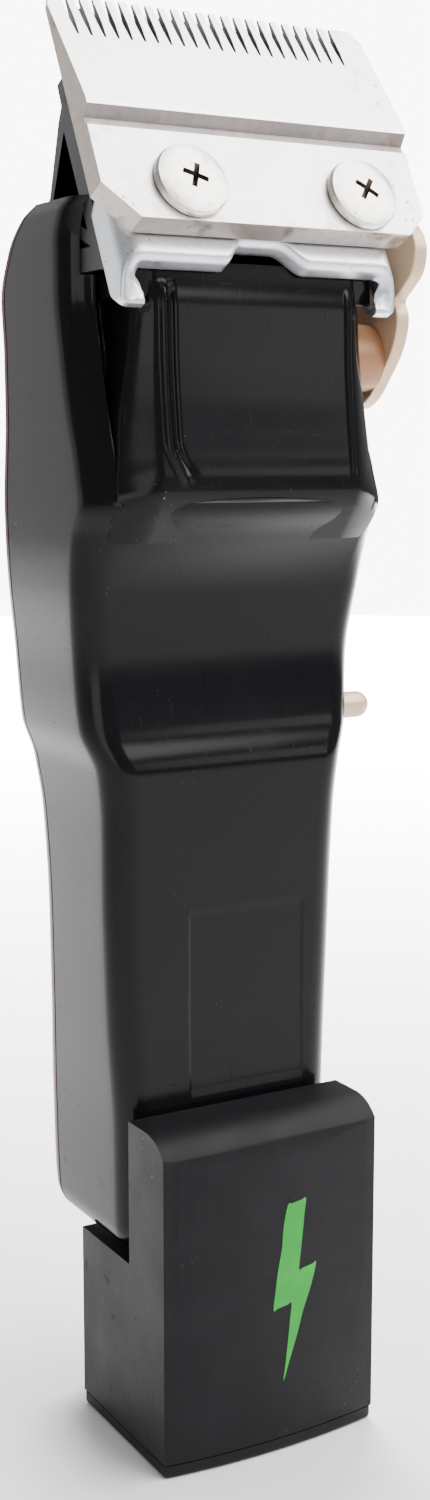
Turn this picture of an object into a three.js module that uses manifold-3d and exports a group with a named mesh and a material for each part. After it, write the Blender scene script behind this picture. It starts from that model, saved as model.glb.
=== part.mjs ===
// Cordless hair clipper standing on its plug-on charging adapter.
// Millimetres, +Z up, -Y is the side with the blade screws, +X is the side with the taper lever.
// Origin: centre of the adapter's flat underside.
import * as THREE from 'three';
import { mergeVertices } from 'three/addons/utils/BufferGeometryUtils.js';
import Module from 'manifold-3d';

const wasm = await Module();
wasm.setup();

// ---- driving dimensions -------------------------------------------------------------------
const GAP = 0.3;                       // gap between neighbouring pieces
const WALL = 1.9;                      // wall of the clipper's housing and lid
const PAST = 1;                        // how far a cutting tool runs past a face

const ADAPTER = { halfX: 16.9, halfY: 13.0, bow: 1.3, ledgeZ: 27.2, topZ: 47.8, wallBackY: -1.65,
  noseR: 6.2, wall: 1.8, coverT: 1.9, screwX: 13.1, screwY: 9.9 };
const PLUG = { y: 7.4, r: 2.2, z1: 36.5 };
const COIL = { r: 12.6, hole: 7.5, y0: -10.2, t: 1.2, z: 25.5 };

// stations of the housing: height, half width, front face, parting line to the lid
const STATIONS = [
  [27.6, 14.9, 1.6, 18.2], [28.5, 16.0, 0.2, 19.7], [31, 16.6, -0.7, 20.7], [45, 16.8, -0.7, 21.2],
  [60, 17.5, -0.3, 19.9], [75, 18.0, -0.4, 19.3], [88, 18.3, -0.9, 20.3], [95, 19.0, -1.1, 21.3],
  [101, 20.9, 0.3, 21.4], [110, 21.4, 0.9, 22.0], [120, 22.4, -0.3, 21.8], [127, 22.8, -1.6, 21.6],
  [131, 22.9, -3.6, 21.5], [135.5, 22.8, -2.4, 21.4], [142, 22.6, 0.2, 21.3], [150.5, 22.6, 2.3, 21.4],
  [158, 22.6, 3.6, 22.0], [164, 22.6, 3.6, 19.4], [168, 22.4, 2.3, 15.4], [169.6, 21.8, 0.6, 12.6]];
const CORNER_R = 4.0;
const LID = { crown: 5.6, endRun: 7, power: 2.6, arcs: 14 };
const NOSE = { halfTop: 16.2, halfLow: 19.6, lowZ: 130.5, topZ: 161.4, panelX: 13.7, ribW: 1.2, ribH: 0.6,
  railHalf: 18.2, railZ: 156.8 };
const LABEL = { x0: -6.5, x1: 11.8, z0: 49.4, z1: 75.2, depth: 0.3 };
const CASE_SCREW = { x: 10.8, z: 38, headR: 2.3, headH: 1.5, r: 1.1, headY: 1.1, endY: 14 };

// the blade group leans back; inside it y runs into the clipper and z runs towards the teeth
const TILT = THREE.MathUtils.degToRad(26.8);
const BLADE_AT = new THREE.Vector3(0, -9.71, 169.5);
const SCREW = { x: 12.7, shift: 1.4, z: 1.0, headR: 5.0, headH: 1.8, r: 1.5, length: 6.2 };
const BLADE = { halfW: 23.6, lowZ: -4.2, leftCut: 4.5, rightCut: 3.0, grooveZ: 8.8, grooveDeep: 0.5,
  ridgeZ: 11.2, proud: 1.1, thick: 3.4, tipZ: 29.6, tipY: 3.05 };
const CUTTER = { halfW: 19.0, y0: 3.7, thick: 2.2, z0: 8.6, z1: 28.4, tipThick: 0.5 };
const TEETH = { bladeRoot: 22.6, bladeCount: 22, bladePitch: 1.89, bladeX: -1.05, bladeGap: 0.74,
  cutterRoot: 23.6, cutterCount: 17, cutterPitch: 2.1, cutterGap: 0.95 };
const BRACKET = { y0: 3.7, sheet: 1.5, topZ: 4.6, lowZ: -7.6, flangeY: 7.0, halfW: 20.5,
  earTopY: 7.6, earY0: 6.6, earY1: 8.2, earZ: -12.6, tabX: 16.9, tabT: 1.1, notch: 2.6 };
const FRAME = { x0: 19.2, x1: 20.4, barY0: 8.6, barY1: 10.4, barZ0: 18.6, barZ1: 21.6, pocket: 0.6 };
const SPRING = { r: 0.5, y: 9.2, topX: 13, topZ: 17.6, lowX: 6.5, lowZ: 10.2 };

const LEVER = { y: 3.0, z: 150.5, x0: 23.8, x1: 25.9, bossR: 4.6, bossX: 19.0, boreR: 1.7 };
const SWITCH = { y: 4.0, z: 101.6, r: 1.9, x0: 16.8, x1: 25.2, travel: 4.0 };
const MOTOR = { y: 13.3, r: 9.6, z0: 107, z1: 140, shaftR: 1.0 };
const CAM = { offset: 1.2, pinR: 1.0, discR: 4.0, z0: 144, z1: 147.5, pinZ: 156 };
const YOKE = { halfW: 6.4, slotHalf: 3.6, z0: 150.6, z1: 154.6, y0: 7.6, y1: 18, armHalf: 5.0 };
const CELL = { y: 12.9, r: 8.4, z0: 42, z1: 90 };
const JACK = { r: 4.0, z1: 39.5 };

// ---- finishes -----------------------------------------------------------------------------
const finish = (color, roughness, metalness = 0) => () =>
  new THREE.MeshStandardMaterial({ color, roughness, metalness });
const BLACK_GLOSS = finish(0x2e2d31, 0.25);
const BURGUNDY = finish(0x5a1420, 0.25);
const BLACK_MATT = finish(0x262529, 0.7);
const STEEL = finish(0xd8d8d8, 0.3, 1);
const ZINC = finish(0xdfe4e8, 0.3, 1);
const NICKEL = finish(0xe6e0d4, 0.3, 1);
const GOLD = finish(0xc9a070, 0.4, 0.3);
const COPPER = finish(0xb06a3a, 0.4, 1);
const GREEN_BOARD = finish(0x1d5a34, 0.6);
const CELL_WRAP = finish(0x2f6aa8, 0.5);
const FERRITE = finish(0x3b3b3d, 0.8);

// ---- solids -------------------------------------------------------------------------------
function solid(geometry) {
  const bare = geometry.clone();
  bare.deleteAttribute('normal');
  bare.deleteAttribute('uv');
  const merged = mergeVertices(bare, 1e-5);
  return new wasm.Manifold(new wasm.Mesh({
    numProp: 3,
    vertProperties: new Float32Array(merged.attributes.position.array),
    triVerts: new Uint32Array(merged.index.array),
  }));
}

const joined = (first, ...rest) => rest.reduce((all, next) => all.add(next), first);
const cut = (first, ...rest) => rest.reduce((all, next) => all.subtract(next), first);

function named(name, body, material) {
  const data = body.getMesh();
  const geometry = new THREE.BufferGeometry();
  geometry.setAttribute('position', new THREE.BufferAttribute(Float32Array.from(data.vertProperties), 3));
  geometry.setIndex(new THREE.BufferAttribute(Uint32Array.from(data.triVerts), 1));
  geometry.computeVertexNormals();
  const mesh = new THREE.Mesh(geometry, material());
  mesh.name = name;
  return mesh;
}

const outline = (points) => new THREE.Shape(points.map(([a, b]) => new THREE.Vector2(a, b)));
const FLAT = { bevelEnabled: false, curveSegments: 10 };

// A (y, z) outline swept along X.
function sweptX(shape, x0, x1, options = FLAT) {
  const g = new THREE.ExtrudeGeometry(shape, { ...options, depth: x1 - x0 });
  const turn = new THREE.Matrix4().makeBasis(
    new THREE.Vector3(0, 1, 0), new THREE.Vector3(0, 0, 1), new THREE.Vector3(1, 0, 0));
  return solid(g.applyMatrix4(turn).translate(x0, 0, 0));
}

// An (x, z) outline swept along Y.
function sweptY(shape, y0, y1, options = FLAT) {
  const g = new THREE.ExtrudeGeometry(shape, { ...options, depth: y1 - y0 });
  const turn = new THREE.Matrix4().makeBasis(
    new THREE.Vector3(1, 0, 0), new THREE.Vector3(0, 0, 1), new THREE.Vector3(0, -1, 0));
  return solid(g.applyMatrix4(turn).translate(0, y1, 0));
}

function box(x0, x1, y0, y1, z0, z1) {
  const g = new THREE.BoxGeometry(x1 - x0, y1 - y0, z1 - z0);
  return solid(g.translate((x0 + x1) / 2, (y0 + y1) / 2, (z0 + z1) / 2));
}

// Round rods along each axis: radius, start, end, then the two other coordinates in order.
function rodX(r, x0, x1, y, z, sides = 24) {
  const g = new THREE.CylinderGeometry(r, r, x1 - x0, sides);
  return solid(g.rotateZ(Math.PI / 2).translate((x0 + x1) / 2, y, z));
}

function rodY(r, y0, y1, x, z, sides = 24) {
  return solid(new THREE.CylinderGeometry(r, r, y1 - y0, sides).translate(x, (y0 + y1) / 2, z));
}

function rodZ(r, z0, z1, x, y, sides = 24) {
  const g = new THREE.CylinderGeometry(r, r, z1 - z0, sides);
  return solid(g.rotateX(Math.PI / 2).translate(x, y, (z0 + z1) / 2));
}

// A screw along Y: domed head towards -Y with a cross recess, shank towards +Y from y = 0.
function screwAlongY(headR, headH, r, length) {
  const profile = [[0, -headH], [headR * 0.55, -headH], [headR * 0.87, -headH * 0.8],
    [headR, -headH * 0.4], [headR, 0], [r, 0], [r, length], [0, length]];
  const points = profile.map(([radius, y]) => new THREE.Vector2(radius, y));
  const arm = headR * 0.45;
  const slot = headR * 0.1;
  const floor = -headH * 0.45;
  return cut(solid(new THREE.LatheGeometry(points, 20)),
    box(-slot, slot, -headH - PAST, floor, -arm, arm),
    box(-arm, arm, -headH - PAST, floor, -slot, slot));
}

// ---- clipper body ---------------------------------------------------------------------------
// A U-shaped section with round front corners, carried along the stations; its back is flat.
function bodyForm(inset, pastBack) {
  const half = 20;
  const depth = 20;
  const r = CORNER_R - inset;
  const section = new THREE.Shape();
  section.moveTo(-half, depth);
  section.lineTo(-half, r);
  section.absarc(-half + r, r, r, Math.PI, Math.PI * 1.5, false);
  section.lineTo(half - r, 0);
  section.absarc(half - r, r, r, Math.PI * 1.5, Math.PI * 2, false);
  section.lineTo(half, depth);
  const steps = STATIONS.length - 1;
  const g = new THREE.ExtrudeGeometry(section, { depth: steps, steps, bevelEnabled: false, curveSegments: 5 });
  const at = g.attributes.position;
  for (let i = 0; i < at.count; i += 1) {
    const [z, width, front, back] = STATIONS[Math.round(at.getZ(i))];
    const x = at.getX(i) + Math.sign(at.getX(i)) * (width - inset - half);
    const y = at.getY(i) < depth / 2 ? at.getY(i) + front + inset : at.getY(i) - depth + back + pastBack;
    at.setXYZ(i, x, y, z);
  }
  return solid(g);
}

// The nose that carries the blade bracket: side profile crossed with its front outline.
function noseForm() {
  const side = outline([[3.7, NOSE.lowZ], [-4.6, NOSE.lowZ], [-6.4, 132.4], [-8.6, 135.2], [-8.1, 140],
    [-7.5, 145], [-7.1, 150], [-6.9, 156], [-6.3, 158.6], [-6.2, NOSE.topZ], [3.7, NOSE.topZ]]);
  const front = outline([[-NOSE.halfLow, NOSE.lowZ], [NOSE.halfLow, NOSE.lowZ], [NOSE.halfLow - 0.4, 136],
    [NOSE.halfTop + 0.8, 148], [NOSE.halfTop, NOSE.topZ], [-NOSE.halfTop, NOSE.topZ],
    [-NOSE.halfTop - 0.8, 148], [-NOSE.halfLow + 0.4, 136]]);
  const ribSide = outline([[0, 136], [-8.6 - NOSE.ribH, 136], [-7.1 - NOSE.ribH, 150],
    [-6.9 - NOSE.ribH, 155.6], [0, 155.6]]);
  const ribs = [-1, 1].map((s) => {
    const edge = s * NOSE.panelX;
    return sweptX(ribSide, Math.min(edge, edge + s * NOSE.ribW), Math.max(edge, edge + s * NOSE.ribW));
  });
  const rail = box(-NOSE.railHalf, NOSE.railHalf, -6.2, 3.7, NOSE.railZ, NOSE.topZ);
  return joined(sweptX(side, -30, 30).intersect(sweptY(front, -20, 20)), rail, ...ribs);
}

function lowerHousing() {
  const headMouth = box(-20.75, 20.75, -12, 30, 159.8, 175);
  const outer = joined(cut(bodyForm(0, 0), headMouth), noseForm());
  const inside = cut(bodyForm(WALL, 5).intersect(box(-30, 30, -20, 40, 29.5, 190)),
    box(-18, 18, 0, 3.75, 156, 175));
  const nosePocket = box(-12, 12, -4.4, 8, 137, 155.5);
  const label = box(LABEL.x0, LABEL.x1, -5, -0.35 + LABEL.depth, LABEL.z0, LABEL.z1);
  const leverNotch = rodX(LEVER.bossR + GAP, 18.6, 30, LEVER.y, LEVER.z, 32);
  const screwPost = rodX(3.2, 12.2, 18.2, LEVER.y, LEVER.z);
  const postWall = box(12.2, 14.0, LEVER.y - 3, 8, LEVER.z - 4, LEVER.z + 3);
  const screwBore = rodX(1.7, 11, 19, LEVER.y, LEVER.z, 20);
  const switchSlot = box(15.5, 30, SWITCH.y - SWITCH.r - GAP, SWITCH.y + SWITCH.r + GAP,
    SWITCH.z - SWITCH.r - GAP, SWITCH.z + SWITCH.travel + SWITCH.r + GAP);
  const bosses = [-1, 1].map((s) => rodY(3.7, 0.3, 4.0, s * CASE_SCREW.x, CASE_SCREW.z));
  const screwHoles = [-1, 1].flatMap((s) => [
    rodY(CASE_SCREW.headR + GAP, -4, CASE_SCREW.headY + 0.2, s * CASE_SCREW.x, CASE_SCREW.z),
    rodY(CASE_SCREW.r + GAP, -4, 6, s * CASE_SCREW.x, CASE_SCREW.z)]);
  const jackHole = rodZ(JACK.r + GAP, 25, 31, 0, PLUG.y);
  const shell = cut(outer, inside, nosePocket);
  return cut(joined(shell, screwPost, postWall, ...bosses),
    label, leverNotch, screwBore, switchSlot, ...screwHoles, jackHole);
}

// The lid: a crowned cover whose edge lies along the parting line.
function lidForm(inset, drop) {
  const half = 20;
  const arch = [];
  for (let i = 0; i <= LID.arcs; i += 1) {
    const a = Math.PI * i / LID.arcs;
    const x = Math.sign(Math.cos(a)) * Math.abs(Math.cos(a)) ** (2 / LID.power);
    arch.push([half * x, Math.sin(a) ** (2 / LID.power)]);
  }
  arch[0][1] = 0;
  arch[LID.arcs][1] = 0;
  const steps = STATIONS.length - 1;
  const section = outline([...arch, [-half, -1], [half, -1]]);
  const g = new THREE.ExtrudeGeometry(section, { depth: steps, steps, bevelEnabled: false });
  const at = g.attributes.position;
  const [bottom, top] = [STATIONS[0][0], STATIONS[steps][0]];
  for (let i = 0; i < at.count; i += 1) {
    const [z, width, , back] = STATIONS[Math.round(at.getZ(i))];
    const run = Math.min(1, (z - bottom + 1) / LID.endRun, (top - z + 1) / LID.endRun);
    const crown = LID.crown * Math.sqrt(1 - (1 - run) ** 2) - inset;
    const y = at.getY(i) < 0 ? back + GAP - drop : back + GAP + at.getY(i) * crown;
    at.setXYZ(i, at.getX(i) / half * (width - inset), y, z);
  }
  return solid(g);
}

function lid() {
  const inside = lidForm(WALL, 3).intersect(box(-30, 30, -20, 40, 30, 166.5));
  const posts = [-1, 1].map((s) => cut(
    rodY(2.9, 4.4, 25.0, s * CASE_SCREW.x, CASE_SCREW.z),
    rodY(CASE_SCREW.r + GAP, 3, 16, s * CASE_SCREW.x, CASE_SCREW.z, 16)));
  const hooks = [-1, 1].map((s) => box(s * 14 - 2, s * 14 + 2, 18.4, 24.8, 159.2, 161.6));
  return joined(cut(lidForm(0, 0), inside), ...posts, ...hooks);
}

function caseScrew(side) {
  const s = screwAlongY(CASE_SCREW.headR, CASE_SCREW.headH, CASE_SCREW.r, CASE_SCREW.endY - CASE_SCREW.headY);
  return s.translate([side * CASE_SCREW.x, CASE_SCREW.headY, CASE_SCREW.z]);
}

// ---- drive --------------------------------------------------------------------------------
function motorCan() {
  const can = rodZ(MOTOR.r, MOTOR.z0, MOTOR.z1, 0, MOTOR.y, 32);
  const flats = [-1, 1].map((s) => box(s * 20 - 12, s * 20 + 12, 0, 30, MOTOR.z0 + 3, MOTOR.z1 - 3));
  const boss = rodZ(2.6, MOTOR.z1 - 1, MOTOR.z1 + 1.2, 0, MOTOR.y);
  return cut(joined(cut(can, ...flats), boss), rodZ(MOTOR.shaftR + 0.2, MOTOR.z1 - 6, 150, 0, MOTOR.y));
}

function motorEndCap() {
  const cap = rodZ(MOTOR.r - 0.6, MOTOR.z0 - 3, MOTOR.z0 - GAP, 0, MOTOR.y, 32);
  const tags = [-1, 1].map((s) => box(s * 5 - 1, s * 5 + 1, MOTOR.y - 0.3, MOTOR.y + 0.3, MOTOR.z0 - 6, MOTOR.z0 - 2));
  return joined(cap, ...tags);
}

function motorMount() {
  const z0 = MOTOR.z1 + GAP;
  const plate = box(-20.3, 20.3, 5.2, 20.8, z0, z0 + 2.4);
  return cut(plate, rodZ(3.4, z0 - PAST, z0 + 4, 0, MOTOR.y));
}

const motorShaft = () => rodZ(MOTOR.shaftR, MOTOR.z1 - 5, CAM.z1 - 0.6, 0, MOTOR.y);

function eccentricCam() {
  const disc = rodZ(CAM.discR, CAM.z0, CAM.z1, 0, MOTOR.y, 28);
  const pin = rodZ(CAM.pinR, CAM.z1 - 0.5, CAM.pinZ, 0, MOTOR.y + CAM.offset, 16);
  return cut(joined(disc, pin), rodZ(MOTOR.shaftR + 0.15, CAM.z0 - PAST, CAM.z1 - 0.4, 0, MOTOR.y));
}

// ---- battery, board, switch, inlet ----------------------------------------------------------
function batteryCell() {
  const can = rodZ(CELL.r, CELL.z0, CELL.z1, 0, CELL.y, 32);
  return joined(can, rodZ(2.6, CELL.z1 - PAST, CELL.z1 + 1.2, 0, CELL.y));
}

function circuitBoard() {
  const board = box(-13, 13, 2.2, 3.4, 46, 97);
  const chips = [[-8, 58, 5, 5], [3, 70, 7, 4], [-6, 86, 4, 6]].map(([x, z, w, h]) =>
    box(x, x + w, 3.2, 4.2, z, z + h));
  const clear = rodZ(CELL.r + 0.2, CELL.z0 - PAST, CELL.z1 + 2, 0, CELL.y, 32);
  return cut(joined(board, ...chips), clear);
}

const switchBody = () => joined(box(9.8, 16.4, 3.2, 9.6, 98.4, 110), box(12.4, 13.2, 3.6, 4.6, 96.4, 99));

function powerSwitch() {
  const stem = rodX(SWITCH.r, SWITCH.x0, SWITCH.x1 - 1.9, SWITCH.y, SWITCH.z);
  const dome = solid(new THREE.SphereGeometry(SWITCH.r, 20, 12)
    .translate(SWITCH.x1 - SWITCH.r, SWITCH.y, SWITCH.z));
  return joined(stem, dome);
}

function chargeJack() {
  const barrel = rodZ(JACK.r, 28.2, JACK.z1, 0, PLUG.y, 28);
  return cut(barrel, rodZ(PLUG.r + GAP, 27, JACK.z1 - 1.6, 0, PLUG.y, 28));
}

// ---- blade group (in its own leaning frame) ---------------------------------------------------
function toothGaps(count, pitch, centre, width, root, tip) {
  return Array.from({ length: count }, (_, i) => {
    const x = centre + (i - (count - 1) / 2) * pitch;
    const slot = outline([[x - width * 0.22, root], [x + width * 0.22, root], [x + width * 0.5, root + 2.6],
      [x + width * 0.6, tip + PAST], [x - width * 0.6, tip + PAST], [x - width * 0.5, root + 2.6]]);
    return sweptY(slot, -3, 9);
  });
}

function bottomBlade() {
  const side = outline([[0, BLADE.lowZ], [0, BLADE.grooveZ - 0.4], [BLADE.grooveDeep, BLADE.grooveZ],
    [BLADE.grooveDeep, BLADE.grooveZ + 0.8], [-BLADE.proud, BLADE.ridgeZ - 0.6], [-BLADE.proud, BLADE.ridgeZ + 0.4],
    [BLADE.tipY, BLADE.tipZ], [BLADE.thick, BLADE.tipZ], [BLADE.thick, BLADE.lowZ]]);
  const front = outline([[-BLADE.halfW + BLADE.leftCut, BLADE.lowZ], [BLADE.halfW - BLADE.rightCut, BLADE.lowZ],
    [BLADE.halfW, BLADE.lowZ + BLADE.rightCut], [BLADE.halfW, BLADE.tipZ - 2.2], [BLADE.halfW - 1.4, BLADE.tipZ + 1],
    [-BLADE.halfW + 1.0, BLADE.tipZ + 1], [-BLADE.halfW, BLADE.tipZ - 2.2], [-BLADE.halfW, BLADE.lowZ + BLADE.leftCut]]);
  const plate = sweptX(side, -30, 30).intersect(sweptY(front, -5, 9));
  const holes = [-1, 1].map((s) => rodY(SCREW.r + 0.35, -3, 9, s * SCREW.x + SCREW.shift, SCREW.z));
  return cut(plate, ...holes,
    ...toothGaps(TEETH.bladeCount, TEETH.bladePitch, TEETH.bladeX, TEETH.bladeGap, TEETH.bladeRoot, BLADE.tipZ));
}

function cutterBlade() {
  const { y0, thick, z0, z1, tipThick, halfW } = CUTTER;
  const side = outline([[y0, z0], [y0 + thick, z0], [y0 + thick, z1 - 7], [y0 + tipThick, z1], [y0, z1]]);
  const plate = sweptX(side, -halfW, halfW);
  return cut(plate,
    ...toothGaps(TEETH.cutterCount, TEETH.cutterPitch, 0, TEETH.cutterGap, TEETH.cutterRoot, z1));
}

function taperBracket() {
  const { y0, sheet, topZ, lowZ, flangeY, halfW, earTopY, earY0, earY1, earZ, tabX, tabT, notch } = BRACKET;
  const plate = box(-halfW, halfW, y0, y0 + sheet, lowZ, topZ);
  const flange = box(-halfW, halfW, y0, flangeY, lowZ, lowZ + sheet * 0.85);
  const edge = halfW - sheet;
  const ears = [-1, 1].flatMap((s) => {
    const earSide = outline([[y0, topZ], [earTopY, topZ - 1.6], [earY1, lowZ], [earY1, earZ], [earY0, earZ], [y0, lowZ]]);
    const tab = (a, b) => box(Math.min(a, b), Math.max(a, b), earY0, earY1, earZ, earZ + tabT);
    return [sweptX(earSide, s > 0 ? edge : -halfW, s > 0 ? halfW : -edge), tab(s * tabX, s * (halfW - 0.2))];
  });
  const mouth = outline([[-5.8, lowZ - PAST], [6.6, lowZ - PAST], [6.6, lowZ], [3.4, lowZ + notch * 0.7],
    [2.2, lowZ + notch], [-2.4, lowZ + notch], [-3.6, lowZ + notch * 0.5], [-5.8, lowZ]]);
  const holes = [-1, 1].map((s) => rodY(SCREW.r + 0.3, 0, 8, s * SCREW.x + SCREW.shift, SCREW.z));
  return cut(joined(plate, flange, ...ears), sweptY(mouth, 0, 9), ...holes);
}

function bladeScrew(side) {
  return screwAlongY(SCREW.headR, SCREW.headH, SCREW.r, SCREW.length)
    .translate([side * SCREW.x + SCREW.shift, -GAP / 2, SCREW.z]);
}

function tensionSpring() {
  const { y, topX, topZ, lowX, lowZ } = SPRING;
  const path = new THREE.CatmullRomCurve3([[-topX, topZ], [-topX + 2, topZ - 5], [-lowX, lowZ + 0.6], [0, lowZ],
    [lowX, lowZ + 0.6], [topX - 2, topZ - 5], [topX, topZ]].map(([x, z]) => new THREE.Vector3(x, y, z)));
  const wire = new THREE.Shape().absarc(0, 0, SPRING.r, 0, Math.PI * 2, false);
  return solid(new THREE.ExtrudeGeometry(wire, { steps: 36, extrudePath: path, curveSegments: 4 }));
}

// ---- pieces between blade and housing (upright frame) ----------------------------------------
// Turns a (y, z) point of the leaning frame into the upright frame.
function upright(y, z) {
  return [BLADE_AT.y + z * Math.sin(TILT) + y * Math.cos(TILT), BLADE_AT.z + z * Math.cos(TILT) - y * Math.sin(TILT)];
}

// The black frame behind the cutter: two triangular arms and two cross bars.
function tensionFrame() {
  const { x0, x1, barY0, barY1, barZ0, barZ1, pocket } = FRAME;
  const armSide = outline([upright(barY0, barZ1), upright(barY0, -5.4), [-3.4, 160.2], [8.4, 160.2], [8.4, 158.2],
    [17.8, 158.2], [16.6, 164], [13.4, 168.4], [11.9, 170.4], [9.0, 179.6], upright(barY1 + 0.2, barZ0), upright(barY1, barZ1)]);
  const windows = [
    outline([[7.4, 178.0], [1.0, 165.4], [11.0, 169.4]]),
    outline([[0.0, 163.2], [15.6, 163.4], [12.4, 167.9]])];
  const bar = outline([upright(barY0, barZ0), upright(barY1, barZ0), upright(barY1, barZ1), upright(barY0, barZ1)]);
  const arms = [-1, 1].map((s) => {
    const arm = sweptX(armSide, s > 0 ? x0 : -x1, s > 0 ? x1 : -x0);
    const outside = s > 0 ? [x1 - pocket, x1 + PAST] : [-x1 - PAST, -x1 + pocket];
    return cut(arm, ...windows.map((w) => sweptX(w, ...outside)));
  });
  return joined(sweptX(bar, -x1, x1), box(-x1, x1, 15.4, 17.8, 158.2, 161.2), ...arms);
}

// The follower that carries the eccentric's stroke to the cutter.
function driveYoke() {
  const base = outline([upright(6.2, 9), upright(8.4, 9), upright(8.4, 17), upright(6.2, 17)]);
  const arm = outline([upright(6.2, 9.2), upright(8.4, 9.2), [3.4, 169.4], [9.8, 157.6], [11, YOKE.z1],
    [11, YOKE.z0], [YOKE.y0, YOKE.z0], [YOKE.y0 + 0.2, 156.6], [2.0, 168.2], [-0.2, 172.6]]);
  const fork = box(-YOKE.halfW, YOKE.halfW, YOKE.y0, YOKE.y1, YOKE.z0, YOKE.z1);
  const slot = box(-YOKE.slotHalf, YOKE.slotHalf, 10.6, YOKE.y1 + PAST, YOKE.z0 - PAST, YOKE.z1 + PAST);
  return cut(joined(sweptX(base, -8, 8), sweptX(arm, -YOKE.armHalf, YOKE.armHalf), fork), slot);
}

// ---- taper lever ----------------------------------------------------------------------------
function taperLever() {
  const rim = [[-6.6, 167.4], [-8.2, 164.8], [-7.6, 161.5], [-5.2, 159.3], [-3.6, 157.9], [-4.3, 156.2],
    [-4.2, 153.9], [-2.9, 150.9], [-0.2, 147.6], [2.6, 144.8], [6.0, 143.6], [9.2, 145.6], [10.4, 150.2],
    [8.4, 155.0], [5.0, 159.4], [2.8, 163.4], [-0.6, 167.0], [-3.9, 168.7]];
  const curve = new THREE.CatmullRomCurve3(rim.map(([y, z]) => new THREE.Vector3(y, z, 0)), true);
  const shape = new THREE.Shape(curve.getPoints(54).slice(0, -1).map((p) => new THREE.Vector2(p.x, p.y)));
  const rounded = { bevelEnabled: true, bevelSize: 0.5, bevelThickness: 0.5, bevelOffset: -0.5, bevelSegments: 2 };
  const blade = sweptX(shape, LEVER.x0 + 0.5, LEVER.x1 - 0.5, rounded);
  const boss = rodX(LEVER.bossR, LEVER.bossX, LEVER.x0 + 1, LEVER.y, LEVER.z, 32);
  const bore = rodX(LEVER.boreR, LEVER.bossX - PAST, LEVER.x1 + PAST, LEVER.y, LEVER.z, 20);
  const sink = rodX(3.5, LEVER.x1 - 1.4, LEVER.x1 + PAST, LEVER.y, LEVER.z, 28);
  return cut(joined(blade, boss), bore, sink);
}

function leverScrew() {
  const head = rodX(3.1, LEVER.x1 - 1.1, LEVER.x1, LEVER.y, LEVER.z, 28);
  const shank = rodX(1.4, 14.2, LEVER.x1 - 1, LEVER.y, LEVER.z, 20);
  const slot = box(LEVER.x1 - 0.5, LEVER.x1 + PAST, LEVER.y - 2, LEVER.y + 2, LEVER.z - 0.35, LEVER.z + 0.35);
  return cut(joined(head, shank), slot);
}

// ---- charging adapter -------------------------------------------------------------------------
function adapterOutline(inset, low) {
  const { halfY, ledgeZ, topZ, wallBackY, noseR } = ADAPTER;
  const front = -halfY + inset;
  const top = topZ - inset;
  const r = noseR - inset;
  const shape = new THREE.Shape();
  shape.moveTo(front, low);
  shape.lineTo(halfY - inset, low);
  shape.lineTo(halfY - inset, ledgeZ - inset);
  shape.lineTo(wallBackY - inset, ledgeZ - inset);
  shape.lineTo(wallBackY - inset, top);
  shape.lineTo(front + r, top);
  shape.absarc(front + r, top - r, r, Math.PI / 2, Math.PI, false);
  return shape;
}

// The adapter seen from above: three straight sides and a bowed front.
function adapterPlan(y, z0, z1, options = FLAT) {
  const { halfX, halfY, bow } = ADAPTER;
  const front = Array.from({ length: 13 }, (_, k) => {
    const x = halfX * (1 - k / 6);
    return [x, y - halfY + bow * (x / halfX) ** 2];
  });
  const plan = outline([[-halfX, halfY], [halfX, halfY], ...front]);
  return solid(new THREE.ExtrudeGeometry(plan, { ...options, depth: z1 - z0 }).translate(0, 0, z0));
}

function adapterShell() {
  const { halfX, wall, coverT, screwX, screwY, ledgeZ } = ADAPTER;
  const edge = 0.45;
  const rounded = { bevelEnabled: true, bevelSize: edge, bevelThickness: edge, bevelOffset: -edge,
    bevelSegments: 2, curveSegments: 10 };
  const outer = sweptX(adapterOutline(0, coverT + GAP), -halfX + edge, halfX - edge, rounded)
    .intersect(adapterPlan(0, -5, 60));
  const inner = sweptX(adapterOutline(wall, -5), -halfX + wall, halfX - wall).intersect(adapterPlan(wall, -6, 60));
  const corners = [[-1, -1], [1, -1], [-1, 1], [1, 1]];
  const posts = corners.map(([i, j]) => rodZ(2.5, coverT + 0.6, 10, i * screwX, j * screwY));
  const bores = corners.map(([i, j]) => rodZ(1.0, 0, 8, i * screwX, j * screwY, 16));
  const plugHole = rodZ(PLUG.r + GAP, ledgeZ - 4, ledgeZ + 4, 0, PLUG.y);
  return cut(joined(cut(outer, inner), ...posts), ...bores, plugHole);
}

function adapterCover() {
  const { coverT, screwX, screwY } = ADAPTER;
  const round = 0.5;
  const plate = adapterPlan(0, round, coverT - round, { bevelEnabled: true,
    bevelSize: round, bevelThickness: round, bevelOffset: -round, bevelSegments: 2 });
  const sinks = [[-1, -1], [1, -1], [-1, 1], [1, 1]].flatMap(([i, j]) => [
    rodZ(2.0, -PAST, 1.1, i * screwX, j * screwY), rodZ(1.1, -PAST, 4, i * screwX, j * screwY, 16)]);
  return cut(plate, ...sinks);
}

function adapterScrew(i, j) {
  const upwards = screwAlongY(1.75, 0.7, 0.8, 5.5).rotate([90, 0, 0]);
  return upwards.translate([i * ADAPTER.screwX, j * ADAPTER.screwY, 1.0]);
}

function receiverCoil() {
  const ring = rodY(COIL.r, COIL.y0, COIL.y0 + COIL.t, 0, COIL.z, 40);
  return cut(ring, rodY(COIL.hole, COIL.y0 - PAST, COIL.y0 + 3, 0, COIL.z, 32));
}

const ferriteSheet = () => box(-13.2, 13.2, COIL.y0 + 1.5, COIL.y0 + 2.2, COIL.z - 13.2, COIL.z + 13.2);

function adapterBoard() {
  const y = COIL.y0 + 2.6;
  return joined(box(-12.5, 12.5, y, y + 1.2, 14, 40), box(-6, 0, y + 1, y + 2.4, 20, 26), box(4, 8, y + 1, y + 2.2, 28, 33));
}

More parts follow.
